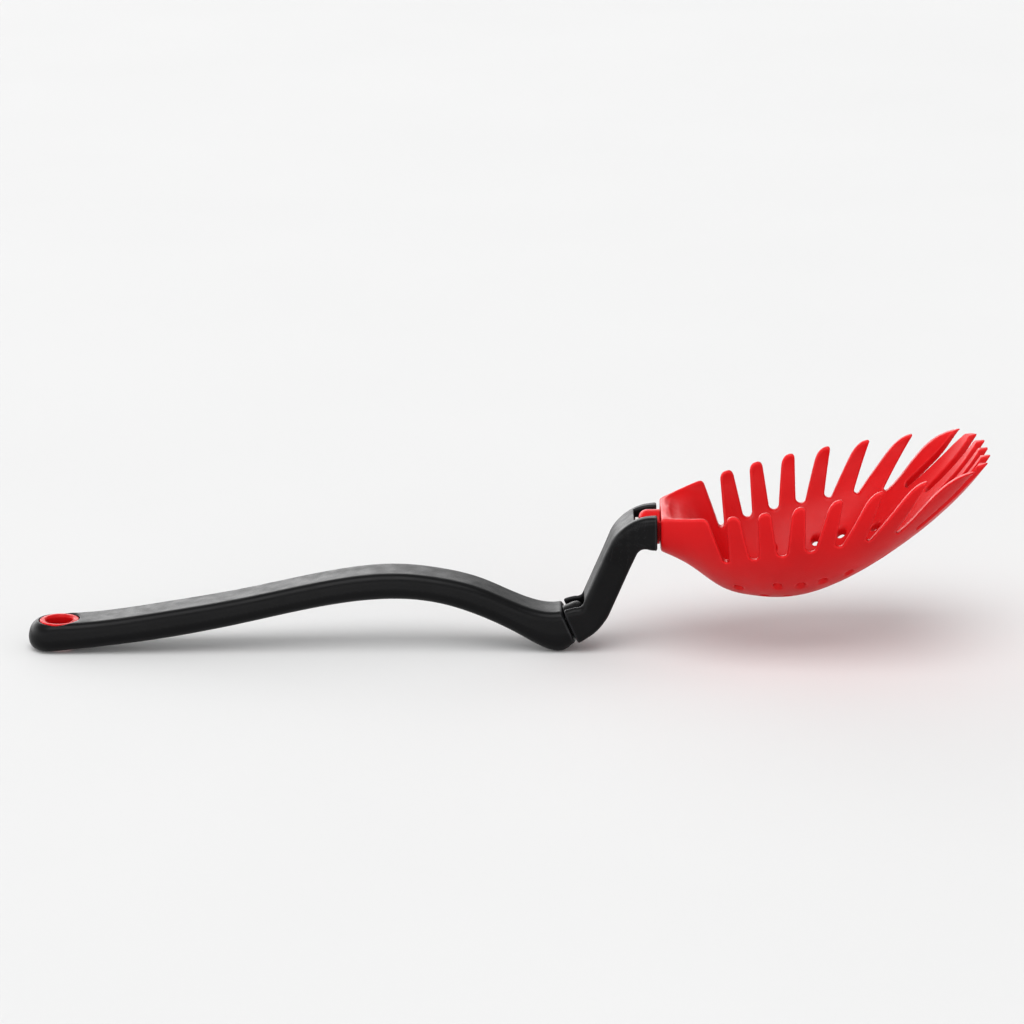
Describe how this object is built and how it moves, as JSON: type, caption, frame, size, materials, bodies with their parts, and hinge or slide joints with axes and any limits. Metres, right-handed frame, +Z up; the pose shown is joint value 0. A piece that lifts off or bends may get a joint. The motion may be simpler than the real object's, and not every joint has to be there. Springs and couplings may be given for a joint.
{
  "type": "slotted spatula spoon",
  "caption": "Slotted pasta spoon with a long arched black handle, a swivelling elbow link and a red toothed bowl with drain holes and front tines.",
  "frame": {"origin": "on the table plane under the middle of the spoon's overall box, as it lies with its bowl up", "axes": "+X along the spoon from the hanging end to the tines, +Y across it, +Z up out of the bowl"},
  "size_m": [0.3313, 0.0716, 0.0714],
  "materials": {
    "black_nylon": "satin",
    "red_nylon": "matte",
    "spring_steel": "polished",
    "white_acetal": "satin",
    "black_rubber": "matte"
  },
  "bodies": {
    "handle": {"handle_grip": "black_nylon", "hang_ring": "red_nylon", "handle_spigot": "black_nylon", "handle_bush": "white_acetal", "handle_seal": "black_rubber", "handle_detent_spring": "spring_steel", "handle_dowel_left": "spring_steel", "handle_dowel_right": "spring_steel"},
    "elbow": {"elbow_link": "black_nylon", "handle_axle": "spring_steel", "handle_wave_washer": "spring_steel", "handle_axle_clip": "spring_steel", "head_axle": "spring_steel", "head_wave_washer": "spring_steel", "head_axle_clip": "spring_steel"},
    "head": {"head_bowl": "red_nylon", "head_spigot": "red_nylon", "head_bush": "white_acetal", "head_seal": "black_rubber", "head_detent_spring": "spring_steel", "head_dowel_left": "spring_steel", "head_dowel_right": "spring_steel"}
  },
  "joints": [
    {"name": "elbow_swivel", "type": "hinge", "parent": "handle", "child": "elbow", "pos_m": [0.02275, 0, 0.0092], "axis": [0.9157, 0, 0.4019], "range_deg": [0, 180], "deforming": ["handle_detent_spring"]},
    {"name": "head_swivel", "type": "hinge", "parent": "elbow", "child": "head", "pos_m": [0.05245, 0, 0.0432], "axis": [1, 0, 0], "range_deg": [0, 180], "deforming": ["head_detent_spring"]}
  ]
}
